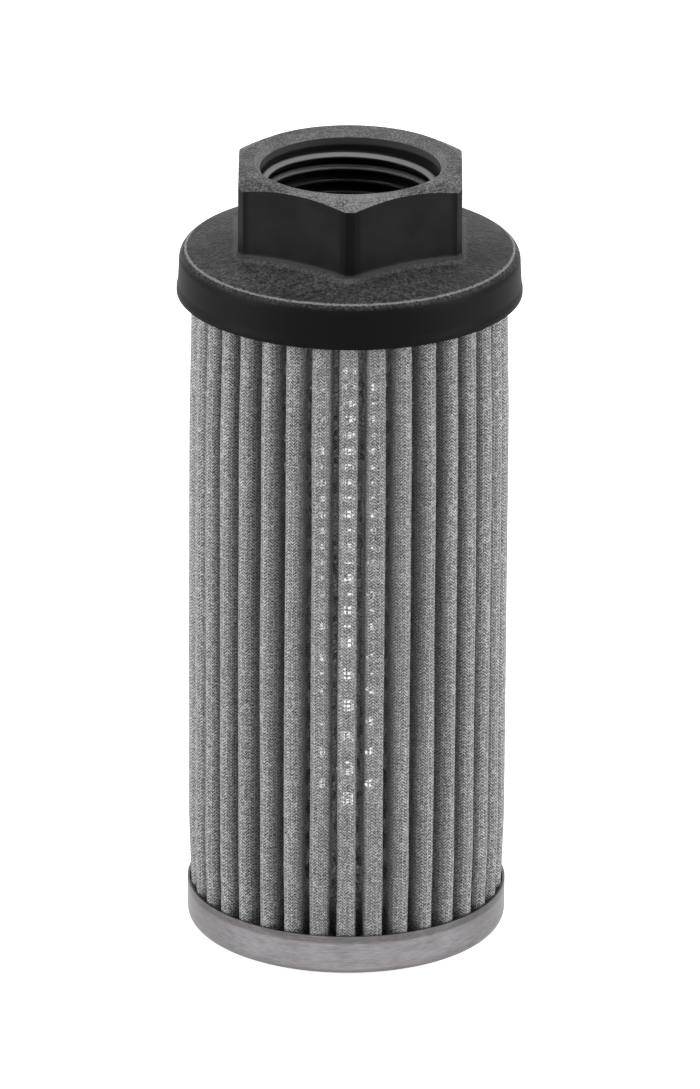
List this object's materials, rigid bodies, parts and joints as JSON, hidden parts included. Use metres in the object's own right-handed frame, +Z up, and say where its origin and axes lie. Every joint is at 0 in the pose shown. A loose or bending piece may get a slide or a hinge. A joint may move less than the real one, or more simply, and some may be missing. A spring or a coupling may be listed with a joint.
{
  "type": "hydraulic suction strainer",
  "caption": "Tank suction strainer: round-pleated wire cloth on a perforated core, with a pressed steel end cap and a moulded hexagon head that has a female pipe thread.",
  "frame": {"origin": "middle of the cap's underside, on the port's axis, where the strainer stands", "axes": "+Z up along the axis from the closed cap to the threaded port; a corner of the hexagon faces -Y"},
  "size_m": [0.0638, 0.0638, 0.15],
  "materials": {
    "head_plastic": "black glass-filled moulded plastic, fine matt grain",
    "mesh_steel": "fine woven stainless wire cloth",
    "core_steel": "plain perforated sheet",
    "cap_steel": "satin pressed sheet",
    "clip_steel": "plain folded strip",
    "resin": "dark cured potting resin"
  },
  "bodies": {
    "root": {"threaded_head": "head_plastic", "pleated_mesh": "mesh_steel", "perforated_core": "core_steel", "bottom_cap": "cap_steel", "mesh_seam_clip": "clip_steel", "head_adhesive": "resin", "cap_adhesive": "resin"}
  },
  "joints": []
}
